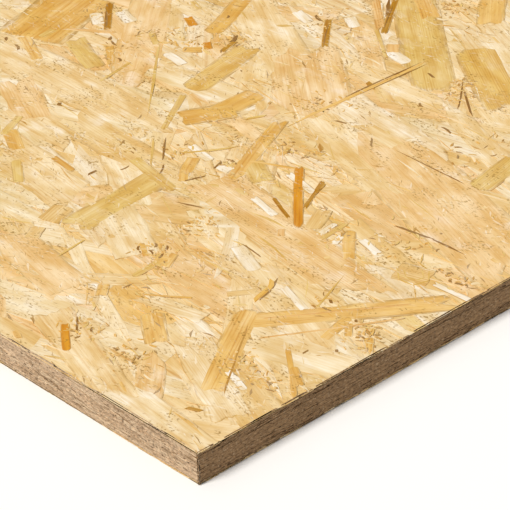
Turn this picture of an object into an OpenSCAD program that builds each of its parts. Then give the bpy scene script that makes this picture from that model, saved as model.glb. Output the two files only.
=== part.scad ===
// Oriented strand board: one square-edged, full-size sheet, lying flat on its underside.
// The origin is at the middle of the underside. +X runs along the face strands, which is the
// sheet's length, +Y across them and +Z up through the board.

/* [Sheet] */
// Length of the sheet, along the face strands
panel_length = 2440; // [1200:10:3660]
// Width of the sheet, across the face strands
panel_width = 1220; // [590:10:2500]
// Thickness of the pressed board
panel_thickness = 18; // [6:0.5:40]

/* [Sawn edges] */
// Width of the small break on every arris, where sawn fibres have rubbed off
arris_break = 0.3; // [0.1:0.1:1]

/* [Hidden] */

// A rectangle about the origin, with its four corners broken at 45 degrees
module broken_rectangle(size, corner) {
    half = size / 2;
    inner = [half[0] - corner, half[1] - corner];
    polygon([
        [inner[0], -half[1]], [half[0], -inner[1]],
        [half[0], inner[1]], [inner[0], half[1]],
        [-inner[0], half[1]], [-half[0], inner[1]],
        [-half[0], -inner[1]], [-inner[0], -half[1]]
    ]);
}

// The sheet's outline seen from above, through its whole thickness
module sheet_outline() {
    linear_extrude(panel_thickness, center = true)
        broken_rectangle([panel_length, panel_width], arris_break);
}

// The section across the sheet, along its whole length
module cross_section() {
    rotate([90, 0, 90])
        linear_extrude(panel_length, center = true)
            broken_rectangle([panel_width, panel_thickness], arris_break);
}

// The section along the sheet, across its whole width
module long_section() {
    rotate([90, 0, 0])
        linear_extrude(panel_width, center = true)
            broken_rectangle([panel_length, panel_thickness], arris_break);
}

// One board, pressed and sawn as one piece: the arrises are where the three outlines meet
module osb_panel() {
    color("burlywood")
        translate([0, 0, panel_thickness / 2])
            intersection() {
                sheet_outline();
                cross_section();
                long_section();
            }
}

osb_panel();
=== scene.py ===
# %% [markdown]
# # A sheet of oriented strand board
# The real sheet is made of flat strands of softwood, about 100 mm long and 0.7 mm thick. They are
# tossed with wax and resin, laid in mats with the face strands mostly along the sheet, pressed hot
# and sawn square. So this lesson builds the board the same way: a few strands are modelled one by
# one, thousands of copies are laid in layers, and everything is then trimmed at the saw lines. The
# packed sheet gives the size, and nothing here goes outside it.

# %% Load the imported sheet
import math

import bmesh
import bpy
import numpy as np
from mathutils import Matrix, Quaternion, Vector


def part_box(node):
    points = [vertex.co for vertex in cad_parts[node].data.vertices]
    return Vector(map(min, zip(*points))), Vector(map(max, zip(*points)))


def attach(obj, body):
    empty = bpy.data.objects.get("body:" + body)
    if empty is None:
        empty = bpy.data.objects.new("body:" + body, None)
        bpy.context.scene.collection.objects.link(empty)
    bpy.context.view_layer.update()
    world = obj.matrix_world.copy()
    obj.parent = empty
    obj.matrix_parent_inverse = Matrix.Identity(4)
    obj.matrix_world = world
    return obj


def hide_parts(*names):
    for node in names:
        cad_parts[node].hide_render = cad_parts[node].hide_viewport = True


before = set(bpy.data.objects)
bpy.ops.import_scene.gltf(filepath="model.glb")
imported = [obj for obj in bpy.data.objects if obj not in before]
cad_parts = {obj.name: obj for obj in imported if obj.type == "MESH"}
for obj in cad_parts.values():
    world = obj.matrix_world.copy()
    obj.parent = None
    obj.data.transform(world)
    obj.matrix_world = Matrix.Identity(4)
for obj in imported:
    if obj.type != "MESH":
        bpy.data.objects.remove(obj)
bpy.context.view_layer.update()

MM = 0.001
LOW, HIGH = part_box("osb_panel")
LENGTH, WIDTH, THICKNESS = HIGH - LOW
print(f"sheet: {LENGTH / MM:.0f} x {WIDTH / MM:.0f} x {THICKNESS / MM:.1f} mm")

# %% [markdown]
# ## Camera, light and floor
# A sheet is sold by its face, so the camera looks down on one corner from a standing height with a
# long lens, which keeps the edges nearly parallel. It aims at a point on the face that is measured
# from that corner. One broad sun lights the face and the front edge and leaves the right edge in
# shade, a pale sky fills in, and the floor is nearly white.

# %% Aim the camera at the near corner
CORNER = Vector((HIGH.x, LOW.y, HIGH.z))
AIM = CORNER + Vector((-107, 136, 0)) * MM
VIEW_TURN = math.radians(47.9)
VIEW_RISE = math.radians(31.33)
VIEW_ROLL = math.radians(-2.07)
VIEW_DISTANCE = 1.4226
LENS = 199.3
VIEW_END = 50


def direction(turn, rise):
    """The way from the object to a viewer: turn 0 is in front, and rise is above the floor."""
    level = math.cos(rise)
    return Vector((math.sin(turn) * level, -math.cos(turn) * level, math.sin(rise)))


back = direction(VIEW_TURN, VIEW_RISE)
bpy.ops.object.camera_add(location=AIM + back * VIEW_DISTANCE)
camera = bpy.context.object
camera.rotation_mode = "QUATERNION"
camera.rotation_quaternion = back.to_track_quat("Z", "Y") @ Quaternion((0, 0, 1), VIEW_ROLL)
camera.data.lens = LENS
camera.data.clip_end = VIEW_END
bpy.context.scene.camera = camera
print("camera at", [round(v, 3) for v in camera.location])


# %% Colours and nodes
def linear(code):
    """Turns an sRGB hex colour into linear red, green, blue and alpha."""
    parts = [int(code[i:i + 2], 16) / 255 for i in (1, 3, 5)]
    parts = [c / 12.92 if c <= 0.04045 else ((c + 0.055) / 1.055) ** 2.4 for c in parts]
    return (*parts, 1.0)


def add_node(tree, kind, settings, inputs, out=0):
    """Adds a node, sets its properties, fills or links its inputs, and returns one output."""
    node = tree.nodes.new("ShaderNode" + kind)
    for name, value in settings.items():
        setattr(node, name, value)
    for name, value in inputs.items():
        if isinstance(value, bpy.types.NodeSocket):
            tree.links.new(value, node.inputs[name])
        else:
            node.inputs[name].default_value = value
    return node.outputs[out] if node.outputs else node


def new_material(name):
    """Makes a material with an empty node tree and returns it with the tree."""
    material = bpy.data.materials.new(name)
    material.use_nodes = True
    material.node_tree.nodes.clear()
    return material, material.node_tree


print("a mid grey is", round(linear("#808080")[0], 3), "in linear light")

# %% Light the studio
SUN_TURN = math.radians(-8)
SUN_RISE = math.radians(52)
SUN_STRENGTH = 2.9
SUN_SPREAD = math.radians(20)
SKY_STRENGTH = 0.36
FLOOR_SIDE = 40
FLOOR_GAP = 0.2 * MM

bpy.ops.object.light_add(type="SUN")
sun = bpy.context.object
sun.rotation_mode = "QUATERNION"
sun.rotation_quaternion = direction(SUN_TURN, SUN_RISE).to_track_quat("Z", "Y")
sun.data.energy = SUN_STRENGTH
sun.data.angle = SUN_SPREAD
sun.data.color = linear("#FFFBF4")[:3]

world = bpy.data.worlds.new("studio_sky")
world.use_nodes = True
world.node_tree.nodes.clear()
white_sky = {"Color": linear("#FFFFFF"), "Strength": SKY_STRENGTH}
sky = add_node(world.node_tree, "Background", {}, white_sky)
add_node(world.node_tree, "OutputWorld", {}, {"Surface": sky})
bpy.context.scene.world = world
bpy.context.scene.view_settings.view_transform = "Standard"

bpy.ops.mesh.primitive_plane_add(size=FLOOR_SIDE, location=(0, 0, LOW.z - FLOOR_GAP))
floor = bpy.context.object
floor.name = "studio_floor"
floor_paint, tree = new_material("matt_white_floor_paint")
shade = add_node(tree, "BsdfDiffuse", {}, {"Color": linear("#FCFCFC")})
add_node(tree, "OutputMaterial", {}, {"Surface": shade})
floor.data.materials.append(floor_paint)
print("sun, sky and floor ready")

# %% [markdown]
# ## The strand finish
# The strands are pine or spruce, sliced along the grain and pressed under a hot platen. That gives
# the eye: cream to honey wood, fine lines of darker latewood along the strand, fibres finer than
# half a millimetre, short brown flecks, and a faint satin sheen from the wax. The press also runs
# neighbours together: resin and dust stain them in the same soft patches, and their feathered rims
# are hard to follow. So each strand carries its own facts as attributes (its tint and how strongly
# that shows, its grain coordinates in millimetres, how strong its rings and flecks are, and how
# near the rim a point is), while the stains and the finest chips are read in the sheet's own
# millimetres and run on from strand to strand.

# %% The pressed softwood material
# Wood's index, with the sheen kept low: the wax lies thin over many small fibres.
WAXED = {"IOR": 1.5, "Specular IOR Level": 0.2}


def strand_material():
    """Pressed softwood strands: wood tints with latewood, fibres, stains, chips and frayed rims."""
    material, tree = new_material("pressed_pine_strands")
    tint = add_node(tree, "Attribute", {"attribute_name": "tint"}, {}, "Color")
    body = tint.node.outputs["Alpha"]
    grain = add_node(tree, "Attribute", {"attribute_name": "grain"}, {}, "Vector")
    traits = add_node(tree, "Attribute", {"attribute_name": "traits"}, {}, "Vector")
    rim = add_node(tree, "Attribute", {"attribute_name": "rim"}, {}, "Fac")
    rings, flecks, pitch = [add_node(tree, "SeparateXYZ", {}, {"Vector": traits}, i) for i in range(3)]
    across = add_node(tree, "SeparateXYZ", {}, {"Vector": grain}, "Y")
    sheet = add_node(tree, "TexCoord", {}, {}, "Object")
    sheet = add_node(tree, "VectorMath", {"operation": "SCALE"}, {0: sheet, "Scale": 1 / MM})

    def noise(place, size_mm, detail):
        """Noise of this size in millimetres along and across a set of coordinates."""
        size = (1 / size_mm[0], 1 / size_mm[1], 1)
        scaled = add_node(tree, "VectorMath", {"operation": "MULTIPLY"}, {0: place, 1: size})
        return add_node(tree, "TexNoise", {}, {"Vector": scaled, "Scale": 1, "Detail": detail}, "Fac")

    def calc(operation, *values):
        """One arithmetic step."""
        return add_node(tree, "Math", {"operation": operation}, dict(enumerate(values)))

    def blend(kind, amount, below, above):
        """Lays one colour over another by an amount from 0 to 1."""
        settings = {"data_type": "RGBA", "blend_type": kind}
        return add_node(tree, "Mix", settings, {0: amount, 6: below, 7: above}, 2)

    def ramp(value, low, high):
        """0 below low, 1 above high, and even between them."""
        return add_node(tree, "MapRange", {}, {"Value": value, "From Min": low, "From Max": high})

    def chips(pitch_mm, long_mm, wide_mm, share):
        """Pointed slivers, one to a cell and each turned its own way: where they lie, and a random
        number for each."""
        place = add_node(tree, "VectorMath", {"operation": "SCALE"}, {0: sheet, "Scale": 1 / pitch_mm})
        cells = {"voronoi_dimensions": "2D"}
        middle = add_node(tree, "TexVoronoi", cells, {"Vector": place, "Scale": 1}, "Position")
        random = middle.node.outputs["Color"]
        chance, shade, turn = [
            add_node(tree, "SeparateColor", {}, {"Color": random}, i) for i in range(3)]
        local = add_node(tree, "VectorMath", {"operation": "SUBTRACT"}, {0: place, 1: middle})
        angle = calc("MULTIPLY_ADD", turn, 1.8, -0.8)
        about_z = {"rotation_type": "Z_AXIS"}
        local = add_node(tree, "VectorRotate", about_z, {"Vector": local, "Angle": angle})
        size = (2 * pitch_mm / long_mm, 2 * pitch_mm / wide_mm, 0)
        local = add_node(tree, "VectorMath", {"operation": "MULTIPLY"}, {0: local, 1: size})
        local = add_node(tree, "VectorMath", {"operation": "ABSOLUTE"}, {0: local})
        total = {"operation": "DOT_PRODUCT"}
        reach = add_node(tree, "VectorMath", total, {0: local, 1: (1, 1, 0)}, "Value")
        inside = ramp(reach, 1.0, 0.75)
        return calc("MULTIPLY", inside, calc("LESS_THAN", chance, share)), shade

    # The stains that neighbours share.
    blotch = noise(sheet, (30, 20), 5)
    ground = blend("MIX", ramp(blotch, 0.40, 0.60), linear("#FEEECC"), linear("#EFD29A"))
    ground = blend("MIX", ramp(noise(sheet, (70, 45), 3), 0.55, 0.75), ground, linear("#E4CA8A"))
    ground = blend("MIX", ramp(noise(sheet, (24, 13), 3), 0.58, 0.68), ground, linear("#FFF6E6"))

    fibres = noise(grain, (22, 0.7), 3)
    clouds = noise(grain, (26, 8), 4)
    wander = noise(grain, (160, 14), 2)
    turns = calc("ADD", calc("DIVIDE", across, pitch), calc("MULTIPLY", wander, 3))
    wave = calc("SINE", calc("MULTIPLY", turns, 2 * math.pi))
    lines = calc("POWER", calc("MULTIPLY_ADD", wave, 0.5, 0.5), 2.5)
    latewood = calc("MULTIPLY", lines, ramp(noise(grain, (50, 4), 2), 0.35, 0.65))
    dashes = ramp(noise(grain, (4, 0.5), 1), 0.64, 0.74)
    broken = ramp(noise(grain, (9, 2.5), 2), 0.38, 0.58)

    # Near the rim the fibres thin out, and what shows between them is the stain.
    fray = calc("MULTIPLY_ADD", calc("SUBTRACT", noise(grain, (14, 0.9), 3), 0.5), 1.6, rim)
    worn = calc("MULTIPLY", ramp(noise(grain, (24, 5), 4), 0.45, 0.65), 0.6)
    worn = calc("MULTIPLY", worn, calc("SUBTRACT", 1.15, body))
    hidden = calc("MAXIMUM", calc("MULTIPLY", ramp(fray, 0.30, 0.80), 0.9), worn)
    own = calc("MULTIPLY", body, calc("SUBTRACT", 1.0, hidden))
    colour = blend("MIX", own, ground, tint)
    colour = blend("MULTIPLY", ramp(fibres, 0.66, 0.34), colour, linear("#F7F0E2"))
    colour = blend("MULTIPLY", ramp(clouds, 0.40, 0.60), colour, linear("#F1E4C8"))
    colour = blend("MULTIPLY", calc("MULTIPLY", latewood, rings), colour, linear("#DEBC80"))
    colour = blend("MIX", calc("MULTIPLY", dashes, flecks), colour, linear("#A07C42"))
    # A broken brown line along each strand's rim: partly resin, partly painted shade of the crevice
    # between neighbours.
    rim_resin_and_shade = calc("MULTIPLY", broken, calc("MULTIPLY_ADD", body, 0.7, 0.2))
    colour = blend("MIX", calc("MULTIPLY", rim, rim_resin_and_shade), colour, linear("#AC8440"))

    # Chips, splits and crumbs too small to lay one by one.
    gather = ramp(noise(sheet, (26, 20), 2), 0.46, 0.64)
    cover = calc("MULTIPLY_ADD", body, -0.9, 1.35)
    for pitch_mm, long_mm, wide_mm, strength, low, high in CHIP_LAYERS:
        where, shade = chips(pitch_mm, long_mm, wide_mm, gather)
        own_colour = blend("MIX", shade, linear(low), linear(high))
        where = calc("MULTIPLY", where, calc("MULTIPLY", cover, strength))
        colour = blend("MIX", where, colour, own_colour)
    heap = ramp(noise(sheet, (24, 14), 3), 0.53, 0.63)
    crumbs = ramp(noise(sheet, (2.0, 1.3), 1), 0.57, 0.66)
    crumbs = calc("MULTIPLY", calc("MULTIPLY", heap, crumbs), 0.75)
    colour = blend("MIX", crumbs, colour, linear("#9A7430"))

    relief = calc("ADD", fibres, calc("MULTIPLY", latewood, 0.35))
    bump = add_node(tree, "Bump", {}, {"Strength": 0.35, "Distance": 0.12 * MM, "Height": relief})
    rough = calc("MULTIPLY_ADD", fibres, 0.2, 0.5)
    wood = {"Base Color": colour, "Roughness": rough, "Normal": bump}
    shade = add_node(tree, "BsdfPrincipled", {}, wood | WAXED)
    add_node(tree, "OutputMaterial", {}, {"Surface": shade})
    return material


# Each layer of chips: spacing, length and width in millimetres, strength, and two end colours.
CHIP_LAYERS = (
    (14, 13, 1.6, 0.55, "#DDB66A", "#FFF2DA"),
    (8, 8, 1.2, 0.60, "#D3AB5E", "#FFF5E2"),
    (5, 5, 0.9, 0.65, "#C49A50", "#FDE8C2"),
    (4, 3.4, 0.8, 0.60, "#B48A44", "#FFF3DC"),
    (9, 3, 1.2, 0.60, "#9A7634", "#C2A05A"),
    (7, 5, 0.5, 0.75, "#865F20", "#B08040"),
)
STRANDS = strand_material()
print("material", STRANDS.name)

# %% [markdown]
# ## The sawn finish and the core
# A saw cuts the strands end on and side on. The cut fibres scatter little light, so the edge is
# brown where the face is pale, and it is rough, with dark pores where strands don't quite meet, their
# dark painted shade. The core between the flakes is resin, dust and painted shadow.

# %% The sawn wood material
def sawn_material():
    """Sawn strand ends: a brown tint with fine grit, pale fuzz and dark pores of painted shade."""
    material, tree = new_material("sawn_strand_ends")
    tint = add_node(tree, "Attribute", {"attribute_name": "tint"}, {}, "Color")
    place = add_node(tree, "TexCoord", {}, {}, "Object")

    def grit(along_mm, up_mm, detail):
        """Noise of this size in millimetres along the edge and up it."""
        size = (1 / (along_mm * MM), 1 / (along_mm * MM), 1 / (up_mm * MM))
        scaled = add_node(tree, "VectorMath", {"operation": "MULTIPLY"}, {0: place, 1: size})
        return add_node(tree, "TexNoise", {}, {"Vector": scaled, "Scale": 1, "Detail": detail}, "Fac")

    def specks(value, low, high, most):
        """0 below low, and the most above high."""
        limits = {"Value": value, "From Min": low, "From Max": high, "To Max": most}
        return add_node(tree, "MapRange", {}, limits)

    fuzz = grit(1.8, 0.9, 3)
    light = add_node(tree, "Math", {"operation": "MULTIPLY_ADD"}, {0: fuzz, 1: 1.5, 2: 0.23})
    grey = add_node(tree, "CombineXYZ", {}, {0: light, 1: light, 2: light})
    mixing = {"data_type": "RGBA", "blend_type": "MULTIPLY"}
    colour = add_node(tree, "Mix", mixing, {0: 1.0, 6: tint, 7: grey}, 2)
    pale = specks(grit(1.9, 1.0, 1), 0.60, 0.70, 0.35)
    covering = {"data_type": "RGBA"}
    colour = add_node(tree, "Mix", covering, {0: pale, 6: colour, 7: linear("#D9BE9C")}, 2)
    # The dark pores are painted shade: the shadow in small voids where strands don't quite meet.
    pore_shade = specks(grit(2.0, 0.8, 1), 0.60, 0.69, 0.65)
    colour = add_node(tree, "Mix", mixing, {0: pore_shade, 6: colour, 7: linear("#6A5236")}, 2)
    bump = add_node(tree, "Bump", {}, {"Strength": 0.5, "Distance": 0.2 * MM, "Height": fuzz})
    wood = {"Base Color": colour, "Roughness": 0.85, "Normal": bump}
    shade = add_node(tree, "BsdfPrincipled", {}, wood | WAXED)
    add_node(tree, "OutputMaterial", {}, {"Surface": shade})
    return material


SAWN = sawn_material()
print("material", SAWN.name)

# %% [markdown]
# ## Model the strands
# A strand is sliced off a log by a knife, so its faces are flat and its long sides follow the
# fibres, but its ends are chopped, split or torn. Six outlines are modelled at a nominal 100 by
# 20 mm, each from a grid whose border points are pushed into place, then given its thickness and a
# thin feathered rim. A copy is stretched to its own length and width later, so a few shapes are
# enough. Three softer shapes, with a wider rim, are for single strands that lie right on top. The
# six outlines with fewer points serve for strands that are seen less closely, and slivers, threads
# and lenses are simpler still, because they are small and there are thousands of them.

# %% Strand outlines
NOMINAL = Vector((100, 20, 0.4)) * MM
RIM_WIDTH = 1.5 * MM
RIM_DROP = 0.12 * MM

# How far each of the nine points of an end is pushed outwards, in millimetres, from one side
# of the strand to the other.
CHOPPED = (0, 2, 1, -2, 0, -1, 1, 0, 1)
SLANTED = (-14, -12, -7, -6, -1, 0, 5, 6, 9)
SPLIT = (3, 1, -3, -2, -16, -5, -2, 0, 4)
TORN = (-4, 2, 7, -6, -10, 0, 4, -7, -12)
POINTED = (-14, -6, 2, 8, 12, 9, 3, -5, -13)
BROKEN = (6, 2, 2, -6, -9, -8, -14, -12, -13)

# How far each of the five inner points of a long side is pushed outwards.
STRAIGHT = (0.2, -0.3, 0.4, 0.0, -0.2)
WANING = (-0.2, 0.4, -0.8, 0.3, -1.4)
BULGED = (0.6, 1.4, 1.2, 0.9, 0.3)
NICKED = (0.1, -1.6, 0.2, 0.4, -0.5)

# The softer strands have five points to an end, three to a side, and a wider feathered rim.
ROUNDED = (-7, 0, 1, 0, -5)
WORN = (-3, 1, -2, 0, -2)
CLEFT = (0, 1, -6, -1, -4)
EVEN = (0.3, -0.3, 0.2)
FULL = (0.7, 1.1, 0.5)
SOFT_RIM = 3.2 * MM
print("nominal strand:", [round(v / MM, 1) for v in NOMINAL], "mm")


# %% The tools that shape a strand
def push_point(shape, near, by):
    """Moves the border point nearest to a place."""
    edit = bmesh.from_edit_mesh(shape.data)
    chosen = min(edit.verts, key=lambda v: (v.co - near).length)
    for v in edit.verts:
        v.select_set(v is chosen)
    edit.select_flush_mode()
    bmesh.update_edit_mesh(shape.data)
    bpy.ops.transform.translate(value=by)


def strand_shape(ends, sides, rim_width=0):
    """Models one strand and returns its points, its faces and which points are on the rim."""
    along, across = len(sides[0]) + 1, len(ends[0]) - 1
    bpy.ops.object.select_all(action="DESELECT")
    bpy.ops.mesh.primitive_grid_add(x_subdivisions=along, y_subdivisions=across, size=1)
    shape = bpy.context.object
    shape.scale = NOMINAL
    bpy.ops.object.transform_apply(location=False, rotation=False)
    bpy.ops.object.mode_set(mode="EDIT")
    bpy.ops.mesh.select_all(action="SELECT")
    bpy.ops.mesh.dissolve_faces()
    half = NOMINAL / 2
    for way, pushes in zip((-1, 1), ends):
        for step, push in enumerate(pushes):
            near = Vector((way * half.x, -half.y + NOMINAL.y * step / across, 0))
            push_point(shape, near, (way * push * MM, 0, 0))
    for way, pushes in zip((-1, 1), sides):
        for step, push in enumerate(pushes, 1):
            near = Vector((-half.x + NOMINAL.x * step / along, way * half.y, 0))
            push_point(shape, near, (0, way * push * MM, 0))
    bpy.ops.mesh.select_all(action="SELECT")
    bpy.ops.mesh.extrude_region_move(TRANSFORM_OT_translate={"value": (0, 0, NOMINAL.z)})
    bpy.ops.mesh.select_all(action="SELECT")
    bpy.ops.mesh.normals_make_consistent(inside=False)
    bpy.ops.mesh.select_mode(type="FACE")
    edit = bmesh.from_edit_mesh(shape.data)
    for face in edit.faces:
        face.select_set(face.normal.z > 0.9)
    bmesh.update_edit_mesh(shape.data)
    if rim_width:
        bpy.ops.mesh.inset(thickness=rim_width, depth=RIM_DROP, use_even_offset=False)
    edit = bmesh.from_edit_mesh(shape.data)
    inner = {v.index for face in edit.faces if face.select for v in face.verts}
    bpy.ops.mesh.select_mode(type="VERT")
    bpy.ops.object.mode_set(mode="OBJECT")
    points = np.array([v.co for v in shape.data.vertices])
    points[:, 2] -= points[:, 2].max()
    faces = [list(face.vertices) for face in shape.data.polygons]
    rim = np.array([0.0 if i in inner else 1.0 for i in range(len(points))])
    bpy.data.objects.remove(shape)
    return points / np.array(NOMINAL), faces, rim


print("rim:", round(RIM_WIDTH / MM, 2), "mm wide and", round(RIM_DROP / MM, 2), "mm down")


# %% Model the shapes once
OUTLINES = (
    ((CHOPPED, SLANTED), (STRAIGHT, WANING)),
    ((SPLIT, CHOPPED), (WANING, BULGED)),
    ((TORN, SPLIT), (BULGED, STRAIGHT)),
    ((SLANTED, BROKEN), (NICKED, STRAIGHT)),
    ((POINTED, TORN), (BULGED, BULGED)),
    ((BROKEN, POINTED), (STRAIGHT, NICKED)),
)
EVERY = range(len(OUTLINES))
FRAYED = [strand_shape(ends, sides, RIM_WIDTH) for ends, sides in OUTLINES]
FLAKES = [
    strand_shape([end[::2] for end in ends], [side[2:3] for side in sides], RIM_WIDTH)
    for ends, sides in OUTLINES]
PLAIN = [strand_shape([end[::4] for end in ends], ((), ())) for ends, sides in OUTLINES]
SOFT = [
    strand_shape((ROUNDED, WORN), (EVEN, FULL), SOFT_RIM),
    strand_shape((WORN, CLEFT), (EVEN, EVEN), SOFT_RIM),
    strand_shape((ROUNDED, CLEFT), (FULL, EVEN), SOFT_RIM),
]
SLIVERS = [
    strand_shape(((-8, -6), (-20, -4)), ((3,), (4,))),
    strand_shape(((6, -14), (-10, 8)), ((1,), (2,))),
    strand_shape(((-38, 12), (-4, -16)), ((-2,), (6,))),
    strand_shape(((-6, 4), (-14, 6)), ((8,), (-6,))),
]
THREADS = [
    strand_shape(((-45, 0), (-40, 4)), ((), ())),
    strand_shape(((-40, 5), (5, -45)), ((), ())),
]
LENSES = [
    strand_shape(((-6, 10), (12, -8)), ((), ())),
    strand_shape(((0, -30), (-25, 4)), ((), ())),
]
families = {"frayed": FRAYED, "soft": SOFT, "flakes": FLAKES, "plain": PLAIN, "slivers": SLIVERS}
families |= {"threads": THREADS, "lenses": LENSES}
for title, shapes in families.items():
    print(title, [len(faces) for points, faces, rim in shapes], "faces")

# %% [markdown]
# ## Lay copies in one mesh
# Thousands of separate objects would be slow and hard to handle, so the copies of a layer become
# one mesh. A table holds a row for each copy: its place on a face of the sheet, its depth below
# that face, size, turn, tint and traits. The six faces of the sheet differ only in their axes, so
# one function lays strands on any of them.

# %% Faces of the sheet, and the laying table
X, Y, Z = np.eye(3)
MIDDLE = np.array((LOW + HIGH) / 2)
SPAN = np.array(HIGH - LOW)

# Each face: the direction along it, the direction across it and the way out of the board.
FACES = {
    "top": (X, Y, Z),
    "underside": (X, -Y, -Z),
    "front": (X, Z, -Y),
    "back": (-X, Z, Y),
    "right": (Y, Z, X),
    "left": (-Y, Z, -X),
}


def face_size(face):
    """Length and width of a face of the sheet."""
    along, across, out = FACES[face]
    return abs(along @ SPAN), abs(across @ SPAN)


def make_rows(count):
    """An empty table of strands."""
    fields = [("at", float, 2), ("depth", float), ("size", float, 3), ("turn", float), ("bow", float)]
    fields += [("lean", float, 2), ("tint", float, 3), ("traits", float, 3), ("offset", float, 2)]
    fields += [("body", float), ("skew", float), ("shape", int)]
    return np.zeros(count, fields)


def copies(shape, rows, face):
    """Points, faces and attributes of the copies of one shape that a table asks for."""
    points, faces, rim = shape
    along, across, out = FACES[face]
    local = points[None] * rows["size"][:, None]
    x, y, z = np.moveaxis(local, 2, 0)
    half = rows["size"][:, None, 0] / 2
    skew = rows["skew"][:, None]
    grain = np.stack([x + y * skew, y - x * skew, np.zeros_like(x)], 2)
    grain += np.pad(rows["offset"], ((0, 0), (0, 1)))[:, None]
    y = y + rows["bow"][:, None] * ((x / half) ** 2 - 0.4)
    z = z - rows["depth"][:, None] + rows["lean"][:, None, 0] * x + rows["lean"][:, None, 1] * y
    cos, sin = np.cos(rows["turn"])[:, None], np.sin(rows["turn"])[:, None]
    u = rows["at"][:, None, 0] + x * cos - y * sin
    v = rows["at"][:, None, 1] + x * sin + y * cos
    centre = MIDDLE + out * (abs(out @ SPAN) / 2)
    place = centre + u[..., None] * along + v[..., None] * across + z[..., None] * out
    count, size = len(rows), len(points)
    corners = np.concatenate([np.array(f) for f in faces])
    corners = (corners[None] + (np.arange(count) * size)[:, None]).ravel()
    lengths = np.tile([len(f) for f in faces], count)
    each = {
        "grain": (grain / MM).reshape(-1, 3),
        "tint": np.repeat(np.c_[rows["tint"], rows["body"]], size, 0),
        "traits": np.repeat(rows["traits"], size, 0),
        "rim": np.tile(rim, count),
    }
    return place.reshape(-1, 3), corners, lengths, each


def lay(name, face, rows, shapes, material):
    """Joins a table's copies in one mesh object, and trims what hangs over the saw lines."""
    blocks = [copies(shape, rows[rows["shape"] == i], face) for i, shape in enumerate(shapes)]
    starts = np.cumsum([0] + [len(b[0]) for b in blocks])
    points = np.concatenate([b[0] for b in blocks])
    corners = np.concatenate([b[1] + s for b, s in zip(blocks, starts)])
    lengths = np.concatenate([b[2] for b in blocks])
    mesh = bpy.data.meshes.new(name)
    mesh.vertices.add(len(points))
    mesh.vertices.foreach_set("co", points.ravel())
    mesh.loops.add(len(corners))
    mesh.loops.foreach_set("vertex_index", corners.astype(np.int32))
    mesh.polygons.add(len(lengths))
    mesh.polygons.foreach_set("loop_start", np.cumsum(np.r_[0, lengths[:-1]]).astype(np.int32))
    kinds = (("grain", "FLOAT_VECTOR", "vector"), ("tint", "FLOAT_COLOR", "color"))
    kinds += (("traits", "FLOAT_VECTOR", "vector"), ("rim", "FLOAT", "value"))
    for key, kind, field in kinds:
        values = np.concatenate([b[3][key] for b in blocks])
        mesh.attributes.new(key, kind, "POINT").data.foreach_set(field, values.ravel())
    mesh.update(calc_edges=True)
    mesh.shade_flat()
    mesh.materials.append(material)
    piece = bpy.data.objects.new(name, mesh)
    bpy.context.collection.objects.link(piece)
    trim(piece)
    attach(piece, "root")
    mesh.calc_loop_triangles()
    print(f"{name}: {len(rows)} strands, {len(mesh.loop_triangles)} triangles")


SAW_TOLERANCE = 0.001 * MM
SAW_INSET = 0.002 * MM


def trim(piece):
    """Saws a piece off at the sheet's sides, and closes what the saw has opened."""
    bpy.ops.object.select_all(action="DESELECT")
    piece.select_set(True)
    bpy.context.view_layer.objects.active = piece
    bpy.ops.object.mode_set(mode="EDIT")
    for axis in range(3):
        for side, limit in ((-1, LOW), (1, HIGH)):
            plane = [0.0, 0.0, 0.0]
            plane[axis] = side
            bpy.ops.mesh.select_all(action="SELECT")
            place = limit - Vector(plane) * SAW_INSET
            bpy.ops.mesh.bisect(
                plane_co=place, plane_no=plane, clear_outer=True, threshold=SAW_TOLERANCE)
    bpy.ops.mesh.select_all(action="SELECT")
    bpy.ops.mesh.fill_holes(sides=0)
    bpy.ops.object.mode_set(mode="OBJECT")


print("faces of the sheet:", {name: [round(s, 3) for s in face_size(name)] for name in FACES})

# %% [markdown]
# ## The core
# Behind the face and edge strands lies the rest of the board. It shows only through the small voids
# between strands, as a dark brown shadow, so it is one slab, a little inside the sheet all round.

# %% Build the core slab
CORE_INSET = Vector((0.6, 0.6, 0.7)) * MM
CORE_BEVEL = 0.5 * MM
DUST_PATCH = 6 * MM

bpy.ops.object.select_all(action="DESELECT")
bpy.ops.mesh.primitive_cube_add(size=1, location=(LOW + HIGH) / 2)
core = bpy.context.object
core.name = "panel_core"
core.scale = HIGH - LOW - CORE_INSET * 2
bpy.ops.object.transform_apply(location=True, rotation=False, scale=True)
bpy.ops.object.mode_set(mode="EDIT")
bpy.ops.mesh.select_all(action="SELECT")
bpy.ops.mesh.bevel(offset=CORE_BEVEL, segments=2)
bpy.ops.object.mode_set(mode="OBJECT")
# The core's dark browns are painted shadow for the voids between strands, with some resin and dust.
core_mix, tree = new_material("resin_core_and_painted_shadow")
place = add_node(tree, "TexCoord", {}, {}, "Object")
dust = {"Vector": place, "Scale": 1 / DUST_PATCH, "Detail": 4}
dust = add_node(tree, "TexNoise", {}, dust, "Fac")
browns = {0: dust, 6: linear("#5A3A1C"), 7: linear("#A4763F")}
brown = add_node(tree, "Mix", {"data_type": "RGBA"}, browns, 2)
shade = add_node(tree, "BsdfPrincipled", {}, {"Base Color": brown, "Roughness": 0.9, "IOR": 1.5})
add_node(tree, "OutputMaterial", {}, {"Surface": shade})
core.data.materials.append(core_mix)
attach(core, "root")
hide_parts("osb_panel")
print("core:", [round(v / MM, 1) for v in core.dimensions], "mm")

# %% [markdown]
# ## Lay the face mats
# Most strands are pale and lie within a few tens of degrees of the sheet's length. A smaller share
# is honey, olive or amber heartwood and bark side, and strays lie at any angle. The mats are laid
# from the bottom up: backing strands that close the surface, the strands that show whole, the
# strays, and last the fines, threads and splits, which gather in clusters where the big strands
# leave room. The near corner is the part of the face that is seen closest, so the strands that lie
# on top there are listed one by one.

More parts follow.
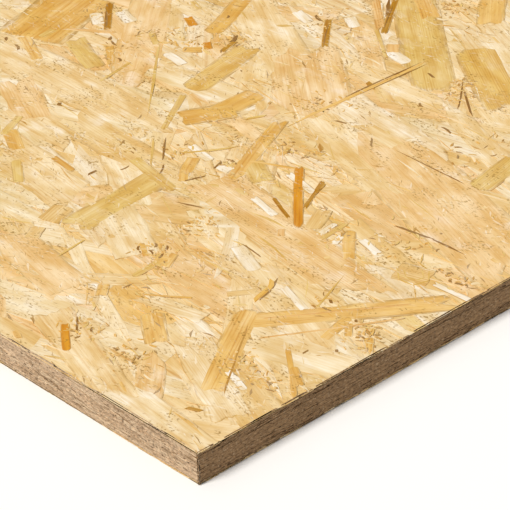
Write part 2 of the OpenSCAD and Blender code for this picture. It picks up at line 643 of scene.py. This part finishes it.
# %% The tints of the wood
WHITE = "#FFF8EC"
PALE = "#FFF4DC"
CREAM = "#FDE9C4"
PEACH = "#F6CF98"
STRAW = "#EFD093"
AMBER = "#F0C482"
HONEY = "#F1C874"
OLIVE = "#E6C774"
OCHRE = "#E6C062"
GOLD = "#EABB58"
ORANGE = "#E2A02A"
RUST = "#C08E20"
BROWN = "#8E6218"

# Mixes of tints, each with the share of every tint.
WOOD = ((WHITE, 2), (PALE, 4), (CREAM, 5), (PEACH, 4), (STRAW, 5), (HONEY, 1), (OLIVE, 0.5))
DARK = ((HONEY, 5), (OLIVE, 4), (STRAW, 4), (GOLD, 1.5), (ORANGE, 0.3))
FINES = (
    (WHITE, 1), (PALE, 3), (STRAW, 4), (HONEY, 5), (GOLD, 3), (OLIVE, 4), (RUST, 0.6),
    (BROWN, 0.4))
FIBRES = ((WHITE, 0.3), (PALE, 3), (CREAM, 4), (STRAW, 4), (HONEY, 3), (OLIVE, 3))
# The splits stand for cracks: their browns are partly resin and partly painted shadow in the crack.
SPLIT_AND_CRACK_SHADE_TINTS = ((BROWN, 3), (RUST, 1), (OLIVE, 3))
print("tints in the face strands:", len(WOOD))


# %% Random strands
draw = np.random.default_rng(18)
MAT_TURN = -8
CLUSTERS = 300

# How single strands differ: how far they bow and lean, how light they are, and how far their
# growth rings run off their length.
BOW = 0.02
LEAN = 0.0006
LIGHTNESS = 0.03
RING_SKEW = 0.04


def fill(count, face, length, width, thick, depth, spread, tints, body=0.6):
    """A table of random strands over a whole face. Sizes and depths are in millimetres, the spread
    of the strands' turns is in degrees, and body is how strongly their tints show."""
    rows = make_rows(count)
    reach = np.array(face_size(face)) / 2
    rows["at"] = draw.uniform(-1, 1, (count, 2)) * reach
    rows["depth"] = draw.uniform(*depth, count) * MM
    rows["size"][:, 0] = draw.uniform(*length, count) * MM
    rows["size"][:, 1] = draw.uniform(*width, count) * MM
    rows["size"][:, 2] = thick * MM
    rows["turn"] = np.radians(draw.normal(MAT_TURN, spread, count))
    rows["bow"] = draw.normal(0, BOW, count) * rows["size"][:, 0]
    rows["lean"] = draw.normal(0, LEAN, (count, 2))
    names, shares = zip(*tints)
    chosen = draw.choice(len(names), count, p=np.array(shares) / sum(shares))
    colours = np.array([linear(name)[:3] for name in names])[chosen]
    rows["tint"] = colours * draw.normal(1, LIGHTNESS, (count, 1))
    rows["body"] = body
    rows["traits"][:, 0] = draw.uniform(0, 1, count) ** 2 * 0.7
    rows["traits"][:, 1] = draw.uniform(0.1, 0.9, count)
    rows["traits"][:, 2] = draw.uniform(1.6, 5, count)
    rows["offset"] = draw.uniform(0, 4, (count, 2))
    rows["skew"] = draw.normal(0, RING_SKEW, count)
    return rows


def shaped(rows, kinds):
    """Gives every row one of these kinds of shape, and turns about half of them end for end."""
    rows["shape"] = draw.choice(list(kinds), len(rows))
    rows["turn"] += np.pi * draw.integers(0, 2, len(rows))
    return rows


def gathered(rows, share, spread_mm):
    """Draws a share of the rows together around some middles."""
    middles = draw.uniform(-0.5, 0.5, (CLUSTERS, 2)) * np.array(face_size("top"))
    spot = middles[draw.integers(0, CLUSTERS, len(rows))]
    spot += draw.normal(0, 1, (len(rows), 2)) * np.array(spread_mm) * MM
    moved = draw.random(len(rows)) < share
    rows["at"] = np.where(moved[:, None], spot, rows["at"])
    return rows


print("random strands lie about", MAT_TURN, "degrees from the sheet's length")


# %% Lay the backing of the top face
# The courses of the mat under a face, in millimetres, and how far its strands turn, in degrees.
FACE_COURSE = (105, 22)
FACE_TURN = 6
JITTER = 0.12


def underlay(face, long_mm, wide_mm, spread, tints):
    """A closed mat of strands in jittered courses, so that no void goes through to the core."""
    pitch = np.array((long_mm, wide_mm)) * MM
    sides = zip(face_size(face), pitch)
    steps = [np.arange(-side / 2, side / 2 + step, step) for side, step in sides]
    at = np.stack(np.meshgrid(*steps), 2).reshape(-1, 2)
    length, width = (1.2 * long_mm, 1.5 * long_mm), (1.2 * wide_mm, 1.6 * wide_mm)
    rows = fill(len(at), face, length, width, 0.4, (0.40, 0.55), spread, tints)
    rows["at"] = at + draw.uniform(-JITTER, JITTER, at.shape) * pitch
    return rows


backing = fill(1800, "top", (60, 140), (12, 34), 0.4, (0.26, 0.45), 30, WOOD)
backing = np.concatenate([underlay("top", *FACE_COURSE, FACE_TURN, WOOD), backing])
lay("backing_strands", "top", shaped(backing, EVERY), PLAIN, STRANDS)

# %% [markdown]
# ## The near corner, strand by strand
# Here every strand that catches the eye has its place. A listed strand is written the way a rule
# would measure it: where it starts, where it ends and its width, all in millimetres from the
# corner. The broad pale ones go down first, then the gold and olive ones, then the small chips,
# and last the dark splits and slivers, whose browns are partly painted shadow. Random strands fill
# in beneath them, and crumbs gather in small heaps.

# %% Broad strands of the corner
CORNER_REACH = Vector((450, 460)) * MM
CORNER_AT = np.array(face_size("top")) / 2 * (1, -1)

BROAD = {
    CREAM: (
        (-395, 190, -250, 193, 33), (-330, 335, -240, 290, 32), (-290, 120, -215, 110, 30),
        (-140, 30, -60, 5, 22), (-320, 150, -262, 150, 24), (-110, 130, -20, 100, 26)),
    PEACH: (
        (-180, 173, -45, 148, 34), (-147, 262, 5, 212, 46), (-252, 312, -195, 262, 40),
        (-215, 62, -150, 50, 25), (-345, 172, -300, 150, 22), (-250, 355, -205, 320, 14)),
    STRAW: (
        (-290, 165, -215, 160, 25), (-170, 245, -100, 225, 16), (-110, 355, -20, 300, 40),
        (-165, 270, -134, 266, 11)),
    PALE: (
        (-60, 12, 0, 5, 16), (-200, 400, -140, 370, 34), (-70, 60, -10, 30, 20),
        (-60, 80, 0, 95, 24), (-200, 120, -150, 95, 24), (-120, 70, -82, 78, 10)),
}
print("broad strands:", sum(len(group) for group in BROAD.values()))

# %% Gold and olive strands of the corner
BRIGHT = {
    HONEY: (
        (-69, 85, -4, 174, 15), (-72, 99, -32, 37, 15), (-222, 438, -196, 406, 16),
        (-104, 64, -82, 48, 12), (-383, 210, -353, 197, 8)),
    OLIVE: (
        (-202, 156, -195, 90, 20), (-272, 418, -163, 326, 27),
        (-261, 226, -239, 191, 4), (-358, 228, -322, 213, 13), (-78, 300, -72, 262, 14),
        (-227, 159, -186, 151, 8), (-178, 200, -158, 190, 14)),
    GOLD: (
        (-232, 256, -233, 216, 16), (-227, 234, -242, 206, 18), (-32, 128, -27, 106, 6),
        (-90, 186, -70, 166, 7), (-300, 133, -279, 122, 9), (-398, 268, -378, 210, 44),
        (-200, 243, -172, 180, 9), (-180, 200, -155, 212, 2), (-325, 332, -305, 288, 12),
        (-258, 410, -226, 388, 14)),
    OCHRE: ((-277, 292, -262, 233, 17), (-182, 378, -120, 338, 26)),
}
print("gold and olive strands:", sum(len(group) for group in BRIGHT.values()))

# %% Chips of the corner
PALE_CHIPS = {
    WHITE: (
        (-120, 136, -96, 126, 9), (-24, 179, 0, 180, 4), (-79, 184, -63, 180, 5),
        (-262, 383, -245, 364, 3), (-216, 342, -197, 339, 9), (-290, 341, -274, 336, 7),
        (-306, 253, -288, 250, 7), (-188, 186, -179, 186, 8), (-100, 186, -98, 172, 4),
        (-89, 180, -86, 171, 4), (-366, 270, -350, 265, 9), (-262, 357, -250, 350, 8),
        (-375, 258, -362, 250, 8), (-155, 205, -130, 200, 5), (-40, 55, -22, 50, 4),
        (-75, 125, -52, 118, 5), (-215, 190, -195, 186, 6), (-150, 175, -128, 170, 5)),
}
CHIPS = {
    STRAW: (
        (-114, 192, -105, 174, 9), (-214, 101, -209, 85, 13), (-208, 78, -202, 68, 8),
        (-46, 175, -28, 182, 16), (-90, 101, -81, 114, 5)),
    HONEY: ((-141, 65, -134, 57, 6), (-139, 108, -132, 96, 8)),
    GOLD: (
        (-204, 182, -195, 168, 8), (-198, 170, -189, 161, 6), (-34, 89, -1, 62, 3),
        (-20, 79, -6, 70, 5), (-259, 130, -240, 128, 4), (-120, 72, -109, 80, 1.5),
        (-109, 80, -100, 87, 1.5), (-302, 262, -294, 270, 7), (-336, 236, -318, 222, 5),
        (-28, 124, -20, 116, 4), (-12, 122, -3, 112, 5),
        (-157, 104, -146, 97, 3), (-150, 110, -140, 104, 3), (-144, 100, -134, 104, 3.5)),
    OLIVE: (
        (-271, 114, -251, 100, 6), (-308, 147, -298, 127, 5), (-138, 100, -136, 80, 4),
        (-96, 190, -94, 170, 3), (-345, 308, -334, 304, 4), (-240, 357, -210, 335, 2.5),
        (-312, 231, -307, 204, 2), (-376, 228, -374, 216, 6), (-331, 264, -318, 256, 4)),
    AMBER: (
        (-267, 384, -238, 359, 6), (-370, 234, -347, 250, 3), (-219, 350, -212, 342, 8),
        (-116, 163, -111, 158, 4), (-62, 97, -18, 158, 1.4), (-50, 84, -12, 146, 1.4)),
}
RESINOUS = {
    ORANGE: (
        (-156, 214, -111, 170, 5.5), (-127, 28, -108, 13, 4.5), (-331, 292, -320, 287, 6),
        (-299, 278, -292, 273, 5)),
    RUST: (
        (-259, 393, -233, 356, 4), (-269, 347, -245, 320, 4.4), (-379, 273, -353, 249, 4.5),
        (-288, 290, -284, 276, 3.5), (-142, 182, -121, 173, 2.4), (-136, 212, -122, 185, 2.4)),
}
chip_groups = [*PALE_CHIPS.values(), *CHIPS.values(), *RESINOUS.values()]
print("chips:", sum(len(group) for group in chip_groups))

# %% Slivers, splits and painted shadow lines of the corner
SLIVERS_AND_SHADOW_LINES = {
    RUST: (
        (-134, 211, -131, 203, 3), (-131, 206, -124, 186, 1.3),
        (-166, 238, -159, 234, 2.2), (-31, 21, -24, 24, 2),
        (-198, 307, -189, 305, 3), (-61, 88, -45, 65, 0.8), (-46, 67, -28, 42, 0.9)),
    # The brown slivers are partly bark and resin, partly painted shadow lines where strands part.
    BROWN: (
        (-83, 128, -77, 119, 1.2), (-77, 119, -75, 109, 1.2), (-230, 184, -213, 168, 1),
        (-210, 166, -204, 158, 0.9), (-184, 174, -189, 161, 0.9), (-174, 144, -160, 150, 1),
        (-190, 190, -187, 181, 1.1), (-187, 194, -181, 193, 1.4), (-150, 263, -144, 256, 1),
        (-179, 263, -171, 265, 1), (-75, 206, -54, 209, 1.2), (-56, 209, -34, 210, 1.2),
        (-262, 389, -246, 372, 2), (-372, 264, -355, 250, 1.2), (-192, 342, -194, 290, 0.8),
        (-188, 342, -191, 290, 0.8), (-131, 298, -123, 296, 1.3), (-159, 309, -155, 307, 1.3),
        (-127, 36, -116, 26, 1), (-120, 139, -104, 137, 0.7), (-152, 337, -127, 317, 1),
        (-160, 345, -140, 320, 0.8), (-345, 244, -342, 241, 1.6), (-340, 241, -334, 239, 1.1),
        (-321, 230, -317, 228, 1.4), (-389, 202, -385, 200, 1.6), (-377, 200, -371, 197, 1.6),
        (-304, 172, -301, 170, 2), (-231, 137, -231, 130, 1.2), (-222, 152, -222, 146, 0.9),
        (-315, 310, -313, 307, 1.4), (-180, 338, -174, 336, 1.4), (-278, 345, -270, 342, 1.8),
        (-128, 262, -82, 261, 0.8), (-25, 94, -25, 90, 1), (-16, 104, -14, 102, 1.2),
        (-50, 133, -47, 131, 1.4), (-28, 129, -26, 127, 1.2), (-115, 35, -112, 32, 1),
        (-152, 109, -149, 106, 1.3), (-146, 112, -143, 108, 1.1), (-156, 101, -153, 98, 1.2),
        (-142, 105, -139, 101, 1.1), (-149, 102, -145, 101, 1),
        (-293, 295, -288, 288, 2), (-253, 384, -237, 360, 0.6), (-264, 342, -247, 321, 0.6)),
    GOLD: ((-84, 126, -78, 117, 2.6), (-79, 119, -76, 106, 2.6)),
    HONEY: ((-190, 343, -193, 246, 2.2),),
    OLIVE: (
        (-181, 87, -178, 64, 1), (-196, 205, -212, 181, 1.6),
        (-210, 241, -215, 231, 1.8), (-320, 260, -263, 203, 1.4), (-229, 71, -214, 77, 1),
        (-234, 180, -214, 160, 1.2), (-118, 150, -92, 144, 1), (-60, 150, -48, 120, 1),
        (-47, 177, -39, 170, 0.8), (-39, 170, -30, 171, 0.9), (-30, 171, -27, 179, 0.8),
        (-27, 179, -34, 186, 0.7), (-34, 186, -43, 188, 0.6), (-43, 178, -38, 174, 0.7),
        (-38, 174, -32, 175, 0.8), (-32, 175, -31, 180, 0.7), (-31, 180, -37, 184, 0.6)),
}

# Where crumbs gather: the place from the corner and how far they spread, in millimetres.
DEBRIS = (
    (-205, 265, 10), (-192, 272, 12), (-150, 140, 8), (-152, 103, 6), (-144, 106, 7),
    (-138, 98, 6), (-15, 125, 6), (-8, 114, 6), (-40, 64, 8), (-22, 60, 8), (-150, 330, 8),
    (-158, 342, 6), (-330, 235, 10), (-335, 258, 8), (-308, 268, 10), (-225, 410, 10),
    (-163, 230, 7), (-185, 190, 6), (-178, 225, 8), (-90, 178, 8), (-60, 200, 14), (-50, 128, 8),
    (-120, 30, 10), (-215, 180, 10), (-240, 160, 12), (-290, 288, 10), (-262, 340, 14),
    (-85, 32, 12), (-20, 190, 10), (-100, 285, 16), (-375, 262, 10))
print("slivers:", sum(len(group) for group in SLIVERS_AND_SHADOW_LINES.values()), "heaps:", len(DEBRIS))


# %% Lay the corner
def by_hand(groups, depth, thick, body, rings=0.3):
    """A table of the strands in these groups, each tint's strands a little above the last."""
    strands = [(tint, *strand) for tint, group in groups.items() for strand in group]
    rows = fill(len(strands), "top", (1, 2), (1, 2), thick, depth, 0, WOOD, body)
    rows["depth"] = -np.sort(-rows["depth"])
    rows["tint"] = [linear(tint)[:3] for tint, *sizes in strands]
    sizes = np.array([sizes for tint, *sizes in strands]) * MM
    start, end = sizes[:, 0:2], sizes[:, 2:4]
    rows["at"] = CORNER_AT + (start + end) / 2
    along, across = (end - start).T
    rows["turn"] = np.arctan2(across, along)
    rows["size"][:, 0] = np.hypot(along, across)
    rows["size"][:, 1] = sizes[:, 4]
    rows["bow"] *= rows["size"][:, 0] / (5 * MM)
    rows["lean"] = 0
    rows["traits"][:, 0] = draw.uniform(0.4, 1.6, len(rows)) * rings
    rows["traits"][:, 1] *= 0.5
    rows["traits"][:, 2] = draw.uniform(1.2, 3.5, len(rows))
    return rows


def outside_corner(rows):
    """The rows that don't lie in the listed corner."""
    from_corner = rows["at"] - CORNER_AT
    inside = (from_corner[:, 0] > -CORNER_REACH.x) & (from_corner[:, 1] < CORNER_REACH.y)
    return rows[~inside]


def scattered(rows, places):
    """Moves rows around these places of the corner."""
    spot = np.array(places)[draw.integers(0, len(places), len(rows))] * MM
    spread = draw.normal(0, 0.6, (len(rows), 2)) * spot[:, 2:]
    rows["at"] = CORNER_AT + spot[:, 0:2] + spread
    return rows


def into_corner(rows):
    """Moves random rows into the corner."""
    rows["at"] = CORNER_AT + draw.uniform(0, 1, (len(rows), 2)) * (-CORNER_REACH.x, CORNER_REACH.y)
    return rows


CORNER_WOOD = ((WHITE, 2), (PALE, 5), (CREAM, 5), (PEACH, 3), (STRAW, 4))
between = fill(150, "top", (35, 120), (8, 30), 0.4, (0.13, 0.30), 20, CORNER_WOOD, 0.5)
between = into_corner(between)
broad = by_hand(BROAD, (0.08, 0.12), 0.4, 0.5)
bright = by_hand(BRIGHT, (0.045, 0.06), 0.4, 0.8, 0.35)
white = by_hand(PALE_CHIPS, (0.03, 0.04), 0.3, 1.0, 0.1)
small = by_hand(CHIPS, (0.01, 0.025), 0.3, 0.8, 0.5)
resinous = by_hand(RESINOUS, (0.01, 0.025), 0.3, 1.0, 0.5)
soft = np.concatenate([bright, white, small, resinous])
soft = shaped(soft, range(len(FRAYED), len(FRAYED + SOFT)))
corner = np.concatenate([shaped(between, EVERY), shaped(broad, EVERY), soft])
lay("corner_strands", "top", corner, FRAYED + SOFT, STRANDS)

# %% Lay the strands of the rest of the top face
upper = fill(1900, "top", (50, 150), (8, 36), 0.4, (0.10, 0.3), 22, WOOD)
stray = fill(620, "top", (15, 90), (5, 20), 0.4, (0.04, 0.10), 60, DARK, 0.85)
face = outside_corner(np.concatenate([upper, stray]))
lay("face_strands", "top", shaped(face, EVERY), FLAKES, STRANDS)

# %% Lay the fines, threads and splits of the top face
DUST = ((STRAW, 2), (OLIVE, 4), (GOLD, 4), (RUST, 2), (BROWN, 2))
CORNER_FINES = ((WHITE, 0.5), (PALE, 3), (STRAW, 3), (HONEY, 3), (OLIVE, 2))

# The share of the fines and threads that gather, and how far a cluster spreads, in millimetres.
GATHERED_SHARE = 0.6
FINES_SPREAD = (32, 20)
THREAD_SPREAD = (34, 20)

fines = fill(8400, "top", (3, 20), (0.7, 4), 0.3, (0.0, 0.10), 50, FINES, 0.8)
fines = gathered(fines, GATHERED_SHARE, FINES_SPREAD)
crumbs = fill(320, "top", (2, 11), (0.6, 2.8), 0.3, (0.07, 0.14), 45, CORNER_FINES, 0.55)
crumbs = into_corner(crumbs)
debris = fill(900, "top", (1.2, 4.5), (0.4, 1.2), 0.3, (0.0, 0.01), 45, DUST, 0.75)
debris = scattered(debris, DEBRIS)
fines = np.concatenate([outside_corner(fines), crumbs, debris])
dark = by_hand(SLIVERS_AND_SHADOW_LINES, (0.0, 0.01), 0.3, 0.9, 0.4)
fines = shaped(np.concatenate([fines, dark]), range(len(SLIVERS)))
lay("face_fines", "top", fines, SLIVERS, STRANDS)

threads = fill(7000, "top", (6, 30), (0.4, 1.2), 0.3, (0.06, 0.14), 18, FIBRES, 0.7)
splits = fill(3100, "top", (2, 9), (0.5, 1.2), 0.3, (0.0, 0.04), 35, SPLIT_AND_CRACK_SHADE_TINTS, 0.65)
thin = gathered(np.concatenate([threads, splits]), GATHERED_SHARE, THREAD_SPREAD)
lay("face_threads", "top", shaped(thin, range(len(THREADS))), THREADS, STRANDS)

# %% [markdown]
# ## The underside
# The mat is nearly the same from both sides, so the underside is laid like the top with fewer
# copies: a closed underlay, one layer of strands, a few strays, and some fines.

# %% Lay the underside
below = shaped(underlay("underside", *FACE_COURSE, FACE_TURN, WOOD), EVERY)
lay("underside_backing", "underside", below, PLAIN, STRANDS)
upper = fill(1400, "underside", (50, 150), (10, 40), 0.4, (0.10, 0.3), 22, WOOD)
stray = fill(380, "underside", (15, 90), (5, 20), 0.4, (0.04, 0.10), 60, DARK, 0.85)
below = shaped(np.concatenate([upper, stray]), EVERY)
lay("underside_strands", "underside", below, PLAIN, STRANDS)
fines = fill(1500, "underside", (4, 26), (0.8, 4), 0.3, (0.0, 0.10), 50, FINES, 0.8)
fines = gathered(fines, GATHERED_SHARE, FINES_SPREAD)
lay("underside_fines", "underside", shaped(fines, range(len(SLIVERS))), SLIVERS, STRANDS)

# %% [markdown]
# ## The sawn edges
# On a sawn edge the strands show as thin lenses. On the long edges the outer quarters of the
# thickness are face strands cut along their length, so their lines are long, and the core strands,
# which lie across the sheet, show their short ends. On the short edges it is the other way round.

# %% Lay the sawn edges
# The tints of the sawn edges. The short edges' darker browns are partly end grain and partly painted
# shade, the shade of the edges turned from the sun.
LONG_TINTS = (("#BDA284", 5), ("#C6AD8E", 4), ("#B3987A", 4), ("#A68B6D", 2), ("#93785A", 0.6))
SHORT_END_GRAIN_AND_SHADE_TINTS = (("#947553", 5), ("#967755", 4), ("#917251", 4), ("#8C6E4D", 2), ("#846849", 0.4))

# The courses behind the lenses, in millimetres along and up the edge, and how the lenses lie.
EDGE_COURSE = (60, 1.5)
LENS_MARGIN = 0.3 * MM
LENS_TURN = 0.012


def sawn_edge(face, count, tints, outer_length, core_length):
    """Lays lens-shaped strand ends over one sawn edge, in thin rows with the thickness."""
    rows = fill(count, face, (1, 2), (0.5, 1.1), 0.5, (0.0, 0.2), 0, tints, 1.0)
    reach = face_size(face)[1] / 2
    rows["at"][:, 1] = draw.uniform(-1, 1, count) * (reach - LENS_MARGIN)
    outer = np.abs(rows["at"][:, 1]) > reach / 2
    length = np.where(outer, draw.uniform(*outer_length, count), draw.uniform(*core_length, count))
    rows["size"][:, 0] = length * MM
    rows["turn"] = draw.normal(0, LENS_TURN, count)
    ends = shaped(rows, range(len(LENSES)))
    courses = shaped(underlay(face, *EDGE_COURSE, 0, tints), (len(LENSES),))
    rows = np.concatenate([courses, ends])
    rows["bow"] = 0
    rows["lean"] = 0
    lay(face + "_edge", face, rows, [*LENSES, PLAIN[0]], SAWN)


sawn_edge("front", 7000, LONG_TINTS, (4, 24), (3, 11))
sawn_edge("back", 7000, LONG_TINTS, (4, 24), (3, 11))
sawn_edge("right", 3500, SHORT_END_GRAIN_AND_SHADE_TINTS, (4, 20), (10, 50))
sawn_edge("left", 3500, SHORT_END_GRAIN_AND_SHADE_TINTS, (4, 20), (10, 50))
